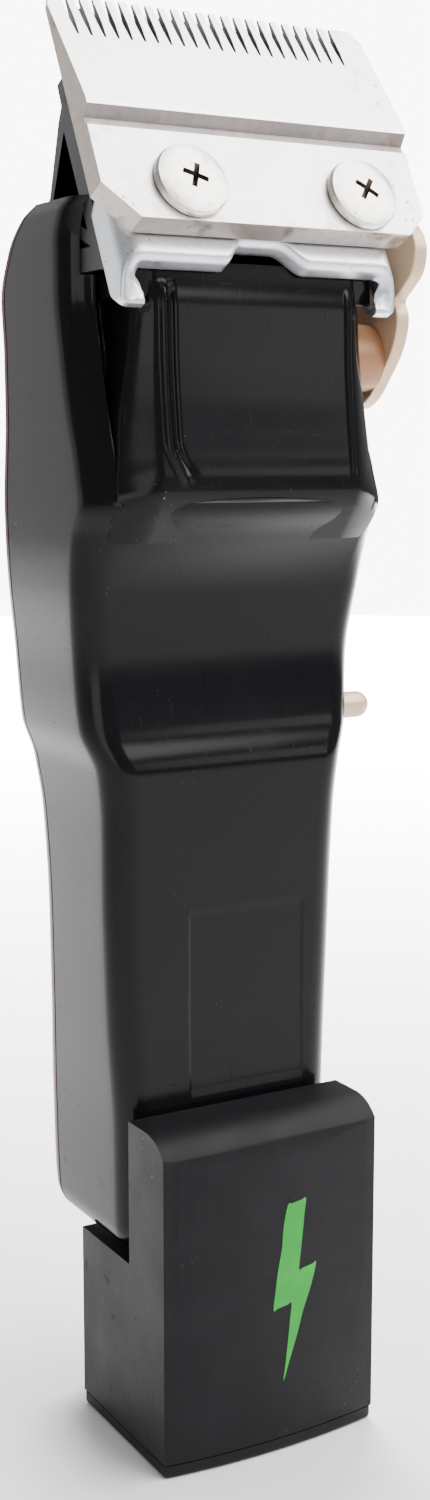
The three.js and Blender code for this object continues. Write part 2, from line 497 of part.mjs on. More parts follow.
function adapterPlug() {
  const flange = rodZ(3.4, ADAPTER.ledgeZ - ADAPTER.wall - 3, ADAPTER.ledgeZ - ADAPTER.wall - GAP, 0, PLUG.y);
  const stem = rodZ(PLUG.r, ADAPTER.ledgeZ - ADAPTER.wall - 2, PLUG.z1, 0, PLUG.y);
  return cut(joined(flange, stem), rodZ(0.8, PLUG.z1 - 6, PLUG.z1 + PAST, 0, PLUG.y, 16));
}

// ---- assembly -------------------------------------------------------------------------------
const clipper = new THREE.Group();
const leaning = new THREE.Group();
leaning.position.copy(BLADE_AT);
leaning.rotation.x = -TILT;
clipper.add(leaning);

clipper.add(
  named('lower_housing', lowerHousing(), BLACK_GLOSS),
  named('lid', lid(), BURGUNDY),
  named('case_screw_left', caseScrew(-1), NICKEL),
  named('case_screw_right', caseScrew(1), NICKEL),
  named('motor_can', motorCan(), STEEL),
  named('motor_end_cap', motorEndCap(), BLACK_MATT),
  named('motor_mount', motorMount(), BLACK_MATT),
  named('motor_shaft', motorShaft(), STEEL),
  named('eccentric_cam', eccentricCam(), BLACK_MATT),
  named('battery_cell', batteryCell(), CELL_WRAP),
  named('circuit_board', circuitBoard(), GREEN_BOARD),
  named('switch_body', switchBody(), BLACK_MATT),
  named('power_switch', powerSwitch(), GOLD),
  named('charge_jack', chargeJack(), BLACK_MATT),
  named('tension_frame', tensionFrame(), BLACK_MATT),
  named('drive_yoke', driveYoke(), BLACK_MATT),
  named('taper_lever', taperLever(), GOLD),
  named('lever_screw', leverScrew(), NICKEL),
  named('adapter_shell', adapterShell(), BLACK_MATT),
  named('adapter_bottom_cover', adapterCover(), BLACK_MATT),
  named('adapter_screw_front_left', adapterScrew(-1, -1), NICKEL),
  named('adapter_screw_front_right', adapterScrew(1, -1), NICKEL),
  named('adapter_screw_back_left', adapterScrew(-1, 1), NICKEL),
  named('adapter_screw_back_right', adapterScrew(1, 1), NICKEL),
  named('receiver_coil', receiverCoil(), COPPER),
  named('ferrite_sheet', ferriteSheet(), FERRITE),
  named('adapter_board', adapterBoard(), GREEN_BOARD),
  named('adapter_plug', adapterPlug(), NICKEL),
);
leaning.add(
  named('bottom_blade', bottomBlade(), STEEL),
  named('cutter_blade', cutterBlade(), STEEL),
  named('taper_bracket', taperBracket(), ZINC),
  named('blade_screw_left', bladeScrew(-1), NICKEL),
  named('blade_screw_right', bladeScrew(1), NICKEL),
  named('tension_spring', tensionSpring(), STEEL),
);

export default clipper;
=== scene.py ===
import math

import bmesh
import bpy
import numpy as np
from mathutils import Matrix, Vector


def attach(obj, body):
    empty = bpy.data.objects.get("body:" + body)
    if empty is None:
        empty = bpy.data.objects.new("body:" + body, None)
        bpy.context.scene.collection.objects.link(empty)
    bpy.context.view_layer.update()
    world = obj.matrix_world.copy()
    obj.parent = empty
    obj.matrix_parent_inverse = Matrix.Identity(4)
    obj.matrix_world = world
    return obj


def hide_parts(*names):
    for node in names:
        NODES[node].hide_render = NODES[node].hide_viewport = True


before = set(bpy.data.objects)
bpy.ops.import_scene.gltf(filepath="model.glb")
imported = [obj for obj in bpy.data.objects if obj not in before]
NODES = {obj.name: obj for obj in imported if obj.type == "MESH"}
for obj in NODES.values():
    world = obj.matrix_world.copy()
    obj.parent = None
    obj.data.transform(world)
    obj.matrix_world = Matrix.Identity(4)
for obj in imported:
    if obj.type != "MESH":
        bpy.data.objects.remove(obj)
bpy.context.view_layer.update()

# Lengths are millimetres until a mesh is made. +Z is up and the blade side faces -Y.
MM = 0.001

# The blade group leans back about X; in its own frame y runs inwards and z to the teeth.
TILT = math.radians(26.8)
BLADE_Y, BLADE_Z = -9.71, 169.5

# The housing runs from its foot to its top.
FOOT_Z, TOP_Z = 27.6, 169.6

# Housing stations: height, half width, front face, parting line to the lid.
STATIONS = np.array([
    [27.6, 14.9, 1.6, 18.2], [28.5, 16.0, 0.2, 19.7], [31, 16.6, -0.7, 20.7], [45, 16.8, -0.7, 21.2],
    [60, 17.5, -0.3, 19.9], [75, 18.0, -0.4, 19.3], [88, 18.3, -0.9, 20.3], [95, 19.0, -1.1, 21.3],
    [101, 20.9, 0.3, 21.4], [110, 21.4, 0.9, 22.0], [120, 22.4, -0.3, 21.8], [127, 22.8, -1.6, 21.6],
    [131, 22.9, -3.6, 21.5], [135.5, 22.8, -2.4, 21.4], [142, 22.6, 0.2, 21.3], [150.5, 22.6, 2.3, 21.4],
    [158, 22.6, 3.6, 22.0], [164, 22.6, 3.6, 19.4], [168, 22.4, 2.3, 15.4], [169.6, 21.8, 0.6, 12.6]])
WALL = 1.9

# Gap between housing and lid, and the lid's wall, crown and the run over which the crown rounds off.
GAP = 0.3
LID_WALL, LID_CROWN, LID_RUN = 1.6, 5.6, 7
LID_POWER = 2 / 2.6

# Nose stations: height with front face, and height with half width.
NOSE_SIDE = np.array([
    [126.0, -4.4], [128.0, -6.0], [129.5, -7.2], [131.0, -8.2], [132.5, -8.75], [134.5, -8.8],
    [137, -8.5], [140, -8.1], [145, -7.5], [150, -7.1], [156, -6.9], [158.6, -6.6], [161.4, -6.4]])
NOSE_HALF = np.array([
    [126.0, 19.6], [129.0, 20.1], [133, 19.6], [136, 19.1],
    [142, 18.3], [148, 17.4], [155, 16.6], [161.4, 16.3]])
NOSE_Z0, NOSE_Z1 = 126.0, 161.4
NOSE_PANEL = 14.6
NOSE_BACK_Y = 7.0

LEVER_Y, LEVER_Z = 3.0, 150.5
LEVER_X0, LEVER_X1 = 23.8, 25.9
LEVER_BORE_R, LEVER_BOSS_R, LEVER_SINK_R = 1.7, 4.6, 3.5
SWITCH_Y, SWITCH_Z = 4.0, 101.6
SWITCH_R, SWITCH_TIP_X = 1.9, 25.2

# Blade screws: places across the blade, how they sit in its frame, and their sizes.
SCREW_LEFT_X, SCREW_RIGHT_X = -11.3, 14.1
SCREW_Y, SCREW_Z = -0.15, 1.0
SCREW_HEAD_R, SCREW_HEAD_H, SCREW_SHANK_R, SCREW_LENGTH = 5.0, 1.8, 1.5, 6.2
CROSS_ARM, CROSS_WIDTH = 0.42, 0.075

# Adapter: half width, half depth, ledge and top heights, back of the front wall, front corner radius.
ADAPTER_X, ADAPTER_Y = 16.9, 13.0
LEDGE_Z, ADAPTER_TOP = 27.2, 47.8
WALL_BACK, ADAPTER_NOSE_R = -1.65, 6.2
ADAPTER_BOW = 1.3
ADAPTER_WALL = 1.8
ADAPTER_EDGE = 0.7
COVER_T, SEAM = 1.9, 0.16
PLUG_Y = 7.4


# ---- small maths ----------------------------------------------------------------------------
def ramp(x, a, b):
    """0 below a, 1 above b, smooth between."""
    t = np.clip((np.asarray(x, float) - a) / (b - a), 0, 1)
    return t * t * (3 - 2 * t)


def hump(x, centre, half):
    """A round bump of height 1 at the centre."""
    t = np.clip(np.abs(np.asarray(x, float) - centre) / half, 0, 1)
    return (1 - t * t) ** 2


def smooth(table, z, column=1):
    """Monotone cubic curve through a column of the table."""
    xs, ys = table[:, 0], table[:, column]
    step = np.diff(xs)
    slope = np.diff(ys) / step
    tangent = np.zeros(len(xs))
    for i in range(1, len(xs) - 1):
        if slope[i - 1] * slope[i] > 0:
            a, b = 2 * step[i] + step[i - 1], step[i] + 2 * step[i - 1]
            tangent[i] = (a + b) / (a / slope[i - 1] + b / slope[i])
    tangent[0], tangent[-1] = slope[0], slope[-1]
    z = np.clip(z, xs[0], xs[-1])
    k = np.clip(np.searchsorted(xs, z, side="right") - 1, 0, len(step) - 1)
    h = step[k]
    t = (z - xs[k]) / h
    return ((1 + 2 * t) * (1 - t) ** 2 * ys[k] + t * (1 - t) ** 2 * h * tangent[k]
            + t * t * (3 - 2 * t) * ys[k + 1] + t * t * (t - 1) * h * tangent[k + 1])


# Turns the blade group's own frame into the upright frame.
LEAN = Matrix.Translation((0, BLADE_Y * MM, BLADE_Z * MM)) @ Matrix.Rotation(-TILT, 4, "X")


# ---- mesh tools -----------------------------------------------------------------------------
def mesh_from(points, faces):
    """A mesh from points in millimetres."""
    mesh = bpy.data.meshes.new("mesh")
    mesh.from_pydata([tuple(float(c) * MM for c in p) for p in points], [], faces)
    mesh.validate()
    return mesh


def thick_grid(outer, inner, keep):
    """A closed wall between two grids of the same shape; cells whose keep is False are left open."""
    rows, cols = outer.shape[:2]
    count = rows * cols
    faces, edges = [], {}
    for i in range(rows - 1):
        for j in range(cols - 1):
            if not keep[i, j]:
                continue
            a = i * cols + j
            quad = (a, a + 1, a + cols + 1, a + cols)
            faces.append(quad)
            faces.append(tuple(v + count for v in reversed(quad)))
            for k in range(4):
                e = (quad[k], quad[(k + 1) % 4])
                if (e[1], e[0]) in edges:
                    del edges[(e[1], e[0])]
                else:
                    edges[e] = True
    faces += [(b, a, a + count, b + count) for a, b in edges]
    mesh = mesh_from(np.concatenate([outer.reshape(-1, 3), inner.reshape(-1, 3)]), faces)
    tidy(mesh)
    return mesh


def tidy(mesh, merge=0.001):
    """Welds doubles, drops loose points and turns all faces outwards."""
    bm = bmesh.new()
    bm.from_mesh(mesh)
    bmesh.ops.remove_doubles(bm, verts=bm.verts, dist=merge * MM)
    loose = [v for v in bm.verts if not v.link_faces]
    bmesh.ops.delete(bm, geom=loose, context="VERTS")
    bmesh.ops.recalc_face_normals(bm, faces=bm.faces)
    bm.to_mesh(mesh)
    bm.free()


def prism(outline, lo, hi, axis="X"):
    """An outline swept along an axis. For X the outline is (y, z), for Y (x, z), for Z (x, y)."""
    n = len(outline)
    place = {"X": lambda a, b, c: (c, a, b), "Y": lambda a, b, c: (a, c, b),
             "Z": lambda a, b, c: (a, b, c)}[axis]
    points = [place(a, b, lo) for a, b in outline] + [place(a, b, hi) for a, b in outline]
    faces = [tuple(range(n)), tuple(range(2 * n - 1, n - 1, -1))]
    faces += [(i, (i + 1) % n, (i + 1) % n + n, i + n) for i in range(n)]
    mesh = mesh_from(points, faces)
    tidy(mesh)
    return mesh


def lathe(profile, axis, centre, steps=64):
    """A (radius, along) profile turned about an axis through the centre."""
    points, faces, rings = [], [], []
    for radius, along in profile:
        count = 1 if radius == 0 else steps
        rings.append((len(points), count))
        for k in range(count):
            a = 2 * math.pi * k / steps
            u, v = radius * math.cos(a), radius * math.sin(a)
            offset = {"X": (along, u, v), "Y": (u, along, v), "Z": (u, v, along)}[axis]
            points.append([c + o for c, o in zip(centre, offset)])
    for (s0, n0), (s1, n1) in zip(rings, rings[1:]):
        for k in range(steps):
            a, b = s0 + k % n0, s0 + (k + 1) % n0
            c, d = s1 + (k + 1) % n1, s1 + k % n1
            quad = list(dict.fromkeys((a, b, c, d)))
            if len(quad) > 2:
                faces.append(tuple(quad))
    mesh = mesh_from(points, faces)
    tidy(mesh)
    return mesh


def rod(radius, axis, centre, lo, hi, steps=64):
    return lathe([(0, lo), (radius, lo), (radius, hi), (0, hi)], axis, centre, steps)


def block(x0, x1, y0, y1, z0, z1):
    return prism([(x0, y0), (x1, y0), (x1, y1), (x0, y1)], z0, z1, "Z")


def changed(mesh, *modifiers):
    """The mesh after modifiers, each given as (type, settings)."""
    obj = bpy.data.objects.new("work", mesh)
    bpy.context.scene.collection.objects.link(obj)
    for kind, settings in modifiers:
        mod = obj.modifiers.new(kind, kind)
        for key, value in settings.items():
            setattr(mod, key, value)
    graph = bpy.context.evaluated_depsgraph_get()
    graph.update()
    result = bpy.data.meshes.new_from_object(obj.evaluated_get(graph))
    bpy.data.objects.remove(obj)
    return result


def combined(mesh, tool, operation):
    """The mesh after a boolean operation with the tool mesh."""
    obj = bpy.data.objects.new("tool", tool)
    bpy.context.scene.collection.objects.link(obj)
    result = changed(mesh, ("BOOLEAN", {"operation": operation, "object": obj, "solver": "EXACT"}))
    bpy.data.objects.remove(obj)
    return result


def cut(mesh, *tools):
    """The mesh less each tool mesh."""
    for tool in tools:
        mesh = combined(mesh, tool, "DIFFERENCE")
    return mesh


def kept_inside(mesh, tool):
    """The part of the mesh that lies inside the tool mesh."""
    return combined(mesh, tool, "INTERSECT")


def rounded(mesh, width, segments=3, angle=30):
    """The mesh with every edge sharper than the angle rounded."""
    return changed(mesh, ("BEVEL", {"width": width * MM, "segments": segments, "limit_method": "ANGLE",
                                    "angle_limit": math.radians(angle), "miter_outer": "MITER_ARC"}))


def joined(*meshes):
    bm = bmesh.new()
    for mesh in meshes:
        bm.from_mesh(mesh)
    result = bpy.data.meshes.new("joined")
    bm.to_mesh(result)
    bm.free()
    return result


def moved(mesh, matrix):
    mesh.transform(matrix)
    return mesh


def refined(node, width, segments=2, angle=25):
    """A copy of a CAD node's mesh with its flat faces made whole and its edges rounded."""
    bm = bmesh.new()
    bm.from_mesh(NODES[node].data)
    bmesh.ops.remove_doubles(bm, verts=bm.verts, dist=0.002 * MM)
    bmesh.ops.dissolve_limit(bm, angle_limit=math.radians(0.8), verts=bm.verts, edges=bm.edges)
    bmesh.ops.recalc_face_normals(bm, faces=bm.faces)
    mesh = bpy.data.meshes.new(node)
    bm.to_mesh(mesh)
    bm.free()
    return rounded(mesh, width, segments, angle)


def piece(name, mesh, body, materials, stands_for=(), sharp=32):
    """Puts a mesh in the scene on its body. A list of materials keeps the mesh's own choice for each face."""
    several = isinstance(materials, list)
    finishes = [face.material_index for face in mesh.polygons] if several else None
    mesh.materials.clear()
    for material in materials if several else [materials]:
        mesh.materials.append(material)
    if finishes:
        mesh.polygons.foreach_set("material_index", finishes)
    mesh.name = name
    mesh.shade_smooth()
    mesh.set_sharp_from_angle(angle=math.radians(sharp))
    mesh = changed(mesh, ("WEIGHTED_NORMAL", {"keep_sharp": True, "weight": 80}))
    mesh.name = name
    obj = bpy.data.objects.new(name, mesh)
    bpy.context.scene.collection.objects.link(obj)
    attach(obj, body)
    if stands_for:
        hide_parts(*stands_for)
    return obj


# ---- materials ------------------------------------------------------------------------------
class Finish:
    """A principled material whose colour, roughness and bump are built up in layers."""

    def __init__(self, name, color, rough, metallic=0.0, **sockets):
        self.material = bpy.data.materials.new(name)
        self.material.use_nodes = True
        self.tree = self.material.node_tree
        self.shader = self.tree.nodes["Principled BSDF"]
        self.shader.inputs["Metallic"].default_value = metallic
        for key, value in sockets.items():
            self.shader.inputs[key].default_value = value
        self.place = self.tree.nodes.new("ShaderNodeTexCoord").outputs["Object"]
        self.color = self.rgb(color)
        self.rough = self.number(rough)
        self.height = None

    def node(self, kind, **settings):
        made = self.tree.nodes.new(kind)
        for key, value in settings.items():
            if key in made.inputs:
                made.inputs[key].default_value = value
            else:
                setattr(made, key, value)
        return made

    def link(self, a, b):
        self.tree.links.new(a, b)

    def rgb(self, color):
        made = self.tree.nodes.new("ShaderNodeRGB")
        made.outputs[0].default_value = (*color, 1)
        return made.outputs[0]

    def number(self, value):
        made = self.tree.nodes.new("ShaderNodeValue")
        made.outputs[0].default_value = value
        return made.outputs[0]

    def stretched(self, scale, turn=(0, 0, 0)):
        made = self.tree.nodes.new("ShaderNodeMapping")
        made.inputs["Scale"].default_value = scale
        made.inputs["Rotation"].default_value = turn
        self.link(self.place, made.inputs["Vector"])
        return made.outputs[0]

    def noise(self, scale, detail=3.0, stretch=(1, 1, 1), turn=(0, 0, 0), roughness=0.55):
        made = self.node("ShaderNodeTexNoise", Scale=scale, Detail=detail, Roughness=roughness)
        self.link(self.stretched(stretch, turn), made.inputs["Vector"])
        return made.outputs[0]

    def cells(self, scale, stretch=(1, 1, 1)):
        made = self.node("ShaderNodeTexVoronoi", Scale=scale)
        self.link(self.stretched(stretch), made.inputs["Vector"])
        return made.outputs["Distance"]

    def band(self, value, lo, hi, out_lo=0.0, out_hi=1.0):
        """Maps a value from lo..hi to out_lo..out_hi, clamped and smooth."""
        made = self.node("ShaderNodeMapRange", interpolation_type="SMOOTHSTEP")
        self.link(value, made.inputs["Value"])
        for key, number in zip(("From Min", "From Max", "To Min", "To Max"), (lo, hi, out_lo, out_hi)):
            made.inputs[key].default_value = number
        return made.outputs["Result"]

    def times(self, a, b):
        return self.maths("MULTIPLY", a, b)

    def maths(self, operation, a, b):
        made = self.node("ShaderNodeMath", operation=operation)
        for k, value in enumerate((a, b)):
            if isinstance(value, (int, float)):
                made.inputs[k].default_value = value
            else:
                self.link(value, made.inputs[k])
        return made.outputs[0]

    def axis(self, k):
        made = self.tree.nodes.new("ShaderNodeSeparateXYZ")
        self.link(self.place, made.inputs[0])
        return made.outputs[k]

    def tint(self, mask, color, amount=1.0):
        """Mixes a colour in where the mask is 1."""
        made = self.node("ShaderNodeMix", data_type="RGBA")
        self.link(self.maths("MULTIPLY", mask, amount), made.inputs["Factor"])
        self.link(self.color, made.inputs[6])
        made.inputs[7].default_value = (*color, 1)
        self.color = made.outputs[2]
        return self

    def gloss(self, mask, change):
        """Adds change to the roughness where the mask is 1."""
        self.rough = self.maths("ADD", self.rough, self.maths("MULTIPLY", mask, change))
        return self

    def relief(self, mask, height):
        """Adds a height in millimetres."""
        layer = self.maths("MULTIPLY", mask, height * MM)
        self.height = layer if self.height is None else self.maths("ADD", self.height, layer)
        return self

    def done(self, strength=1.0):
        self.link(self.color, self.shader.inputs["Base Color"])
        clamp = self.node("ShaderNodeClamp", Min=0.04, Max=1.0)
        self.link(self.rough, clamp.inputs["Value"])
        self.link(clamp.outputs[0], self.shader.inputs["Roughness"])
        if self.height is not None:
            bump = self.node("ShaderNodeBump", Strength=strength, Distance=1.0)
            self.link(self.height, bump.inputs["Height"])
            self.link(bump.outputs[0], self.shader.inputs["Normal"])
        return self.material


def dust(f, amount=1.0, scale=420.0, color=(0.30, 0.29, 0.28)):
    """Scattered tiny specks, denser in patches."""
    speck = f.band(f.cells(scale), 0.04, 0.08, 1.0, 0.0)
    patch = f.band(f.noise(90, 2), 0.6, 0.75)
    fine = f.times(f.band(f.cells(scale * 2.3), 0.05, 0.1, 1.0, 0.0), f.band(f.noise(60, 2), 0.5, 0.7))
    mask = f.maths("MAXIMUM", f.times(speck, patch), f.times(fine, 0.5))
    f.tint(mask, color, amount)
    f.gloss(mask, 0.3)
    return f


def scratches(f, change=0.14, turn=(0.3, 0.2, 0.5), stretch=(14, 1, 1)):
    """Fine hairlines in two directions."""
    a = f.band(f.noise(260, 2, stretch, turn), 0.66, 0.72)
    b = f.band(f.noise(310, 2, (1, 1.3, 12), (turn[1], -turn[0], 0.4)), 0.67, 0.73)
    f.gloss(f.maths("MAXIMUM", a, b), change)
    return f


def gloss_plastic(name, color, rough, dusty=0.5, level=0.17):
    """Moulded plastic with a faint orange peel, hairlines and dust."""
    f = Finish(name, color, rough, IOR=1.5)
    f.shader.inputs["Specular IOR Level"].default_value = level
    f.gloss(f.band(f.noise(45, 4), 0.35, 0.75), 0.07)
    f.relief(f.noise(420, 2), 0.004).relief(f.noise(70, 2), 0.012)
    scratches(f)
    dust(f, dusty)
    return f.done()


def matt_plastic(name, color, rough, grain=0.02, dusty=0.6, level=0.14):
    """Moulded plastic with a fine grain."""
    f = Finish(name, color, rough, IOR=1.48)
    f.shader.inputs["Specular IOR Level"].default_value = level
    f.tint(f.band(f.noise(160, 3), 0.4, 0.7), tuple(c * 1.35 for c in color), 0.6)
    f.gloss(f.band(f.noise(110, 3), 0.35, 0.7), -0.08)
    f.relief(f.noise(1900, 3), grain).relief(f.noise(900, 2), grain)
    scratches(f, 0.1)
    dust(f, dusty)
    return f.done()


def metal(name, color, rough, stretch=(1, 1, 1), stain_and_shade=(0.35, 0.25, 0.17), stain_and_shade_amount=0.25, grain=0.003):
    """Bare metal, brushed by the stretch, with stains in patches, which in the tooth and groove finishes are
    patches of painted shade, and small dark spots.
    """
    f = Finish(name, color, rough, 1.0)
    f.tint(f.band(f.noise(900, 3, stretch), 0.35, 0.7), tuple(c * 0.86 for c in color), 0.7)
    f.gloss(f.band(f.noise(700, 3, stretch), 0.3, 0.7), 0.1)
    f.tint(f.band(f.noise(150, 4), 0.56, 0.72), stain_and_shade, stain_and_shade_amount)
    spots = f.times(f.band(f.cells(600), 0.06, 0.13, 1, 0), f.band(f.noise(130, 2), 0.5, 0.62))
    f.tint(spots, (0.2, 0.13, 0.08), 0.7)
    f.relief(f.noise(1500, 2, stretch), grain)
    return f.done()


def gold_finish(name, color, metallic=0.35):
    """Metallised plastic with a fine sparkle and worn patches."""
    f = Finish(name, color, 0.38, metallic, IOR=1.5)
    f.tint(f.band(f.cells(2600), 0.1, 0.4, 1.0, 0.0), tuple(min(1, c * 1.35) for c in color), 0.35)
    f.tint(f.band(f.noise(120, 4), 0.5, 0.75), tuple(c * 0.7 for c in color), 0.4)
    f.gloss(f.band(f.noise(200, 3), 0.4, 0.7), 0.1)
    f.relief(f.noise(1400, 2), 0.006)
    scratches(f, 0.12)
    dust(f, 0.5, color=(0.8, 0.75, 0.68))
    return f.done()


def blade_finish():
    """Satin steel: brushed along the teeth, greyer below the groove, pitted towards its lower edge."""
    f = Finish("blade_plate", (0.96, 0.945, 0.935), 0.34, 1.0)
    low = f.band(f.axis(2), 0.1790, 0.1795, 1.0, 0.0)
    f.tint(low, (0.80, 0.765, 0.765), 0.75)
    f.tint(f.times(low, f.band(f.noise(140, 4), 0.45, 0.7)), (0.66, 0.61, 0.61), 0.6)
    f.tint(f.band(f.noise(800, 3, (1, 14, 14)), 0.35, 0.7), (0.86, 0.84, 0.83), 0.5)
    foot = f.band(f.axis(2), 0.1655, 0.1690, 1.0, 0.0)
    edge = f.maths("MAXIMUM", foot, f.band(f.axis(0), 0.0165, 0.0225))
    left = f.times(f.band(f.axis(0), -0.0225, -0.0175, 1.0, 0.0), low)
    edge = f.maths("MAXIMUM", edge, left)
    pits = f.times(f.band(f.cells(620), 0.10, 0.22, 1.0, 0.0), f.band(f.noise(240, 3), 0.46, 0.6))
    f.tint(f.times(pits, edge), (0.20, 0.13, 0.10), 0.85)
    f.tint(f.times(edge, f.band(f.noise(330, 4), 0.5, 0.68)), (0.42, 0.34, 0.29), 0.6)
    f.gloss(f.band(f.noise(700, 3, (1, 14, 14)), 0.3, 0.7), 0.1)
    f.gloss(f.times(pits, edge), 0.3)
    f.relief(f.noise(1500, 2, (1, 14, 14)), 0.003).relief(f.times(pits, edge), -0.02)
    scratches(f, 0.12)
    return f.done()


BLACK = gloss_plastic("black_gloss", (0.0042, 0.0040, 0.0052), 0.13)
BURGUNDY = gloss_plastic("burgundy_gloss", (0.055, 0.0045, 0.008), 0.14, 0.3)
MATT = matt_plastic("black_matt", (0.0075, 0.0072, 0.0085), 0.5)
FRAME_BLACK = matt_plastic("black_frame", (0.006, 0.0058, 0.0066), 0.36, 0.012, 0.8, 0.4)
BLADE_PLATE = blade_finish()
STEEL = metal("blade_steel", (0.96, 0.945, 0.93), 0.34, (1, 14, 14), stain_and_shade_amount=0.2)
# Dark steel as painted shade: the flanks between the bottom blade's teeth and the whole cutter behind them.
SHADED_STEEL = metal("steel_painted_shade", (0.22, 0.21, 0.21), 0.42, stain_and_shade=(0.05, 0.04, 0.04), stain_and_shade_amount=0.8)
# Darker steel as painted shade in the bottom blade's groove.
GROOVE_SHADE = metal("blade_groove_painted_shade", (0.30, 0.27, 0.26), 0.42, stain_and_shade=(0.16, 0.10, 0.07), stain_and_shade_amount=0.8)
# A darker, brownish steel for the bottom blade's edge faces.
DARK_EDGE_FACES = metal("dark_edge_faces", (0.50, 0.44, 0.40), 0.42, stain_and_shade=(0.13, 0.08, 0.05), stain_and_shade_amount=0.95)
ZINC = metal("zinc", (0.86, 0.89, 0.93), 0.34, (1, 1, 6), (0.5, 0.5, 0.52), 0.3)
NICKEL = metal("nickel", (0.88, 0.84, 0.78), 0.26, stain_and_shade_amount=0.3)
RECESS = metal("screw_recess", (0.20, 0.15, 0.12), 0.5, stain_and_shade=(0.06, 0.04, 0.03), stain_and_shade_amount=0.8)
GOLD = gold_finish("gold_plastic", (0.66, 0.47, 0.31))
# A darker copy of the lever's gold, painted shade on the boss down in the housing's notch.
SHADED_GOLD = gold_finish("gold_boss_painted_shade", (0.36, 0.17, 0.08), 0.2)
COPPER = metal("copper", (0.72, 0.36, 0.2), 0.3, (40, 40, 1), stain_and_shade_amount=0.1)
BOARD = matt_plastic("board_green", (0.02, 0.14, 0.05), 0.4, 0.004, 0.1)
WRAP = gloss_plastic("cell_wrap", (0.05, 0.16, 0.40), 0.3, 0.1)
FERRITE = matt_plastic("ferrite", (0.05, 0.05, 0.052), 0.6, 0.01, 0.1)
PAINT = matt_plastic("green_paint", (0.025, 0.29, 0.04), 0.5, 0.01, 0.3)


# ---- housing --------------------------------------------------------------------------------
def corner_radius(z):
    return 4.0 - 0.8 * ramp(z, 112, 140)


def section_columns():
    """Column kinds across the housing: left side, corner, front, corner, right side."""
    side = [("side", t) for t in np.linspace(1, 0, 13)[:-1]]
    arc = [("arc", t) for t in np.linspace(0, 1, 11)]
    front = [("front", t) for t in np.linspace(0, 1, 131)[1:-1]]
    left = [(-1, k, t) for k, t in side + arc]
    middle = [(0, k, t) for k, t in front]
    right = [(1, k, t) for k, t in reversed(side + arc)]
    return left + middle + right


def front_depth(x, z, w):
    """How far the front face sinks in from its plain surface."""
    edge = w - np.abs(x)
    head = ramp(z, 131.2, 134.4)
    rim = 0.5 * hump(edge, 2.3, 1.3) - 0.15 * hump(edge, 3.5, 0.9)
    channel = 2.5 * ramp(edge, 3.9, 4.7)
    label_x = ramp(x, -6.62, -6.38) * (1 - ramp(x, 11.68, 11.92))
    label = 0.12 * label_x * ramp(z, 49.2, 49.6) * (1 - ramp(z, 75.0, 75.4))
    rise = ramp(z, 119.0, 131.0) * (1 - 0.4 * ramp(z, 131.0, 134.0))
    swell = -4.4 * rise * np.clip(1 - (x / 22.0) ** 2, 0, 1) ** 0.8 - 1.2 * rise
    return head * (rim + channel) + label + swell


def housing_shell():
    """The black casing: an open trough with a thumb scoop, cut for the switch, lever and screws."""
    heights = np.unique(np.concatenate([
        np.linspace(FOOT_Z, 28.8, 5), np.arange(29.2, 160.0, 0.6), [131.6, 132.2, 132.8, 133.4, 134.0, 160.0],
        np.arange(160.4, 169.7, 0.4), [TOP_Z]]).round(3))
    columns = section_columns()
    outer = np.zeros((len(heights), len(columns), 3))
    for i, z in enumerate(heights):
        w, f, p = (float(smooth(STATIONS, z, k)) for k in (1, 2, 3))
        r = float(corner_radius(z))
        for j, (side, kind, t) in enumerate(columns):
            if kind == "side":
                x, y = side * w, f + r + (p - f - r) * t
            elif kind == "arc":
                a = t * math.pi / 2
                x, y = side * (w - r + r * math.cos(a)), f + r - r * math.sin(a)
            else:
                x, y = (w - r) * (2 * t - 1), f
            outer[i, j] = (x, y, z)
            if kind != "side":
                outer[i, j, 1] += float(front_depth(x, z, w)) * (1 if kind == "front" else t)
    w = smooth(STATIONS, heights, 1)[:, None]
    inner = outer.copy()
    inner[..., 0] *= (w - WALL) / w
    kinds = np.array([0.0 if k == "side" else (t if k == "arc" else 1.0) for _, k, t in columns])
    inner[..., 1] += (WALL - 0.2) * kinds[None, :]
    inner[..., 2] = np.clip(inner[..., 2], FOOT_Z, TOP_Z)
    mid_x = 0.5 * (outer[:-1, :-1, 0] + outer[:-1, 1:, 0])
    mid_z = 0.5 * (outer[:-1, :-1, 2] + outer[1:, :-1, 2])
    keep = ~((np.abs(mid_x) < 20.4) & (mid_z > 160.0))
    mesh = thick_grid(outer, inner, keep)
    return cut(mesh, *housing_cutters())


def housing_cutters():
    """The switch's slot, the notch for the lever's boss and the sinks of the case screws."""
    radius, travel = 2.15, 4.0
    slot = prism([(SWITCH_Y + radius * math.cos(a),
                   SWITCH_Z + radius * math.sin(a) + (travel if math.sin(a) > 0 else 0))
                  for a in np.linspace(0, 2 * math.pi, 49)[:-1]], 15.5, 30)
    notch = rod(4.9, "X", (0, LEVER_Y, LEVER_Z), 18.6, 30)
    heads = [rod(2.6, "Y", (s * 10.8, 0, 38), -4, 1.3, 48) for s in (-1, 1)]
    return [slot, notch, *heads]


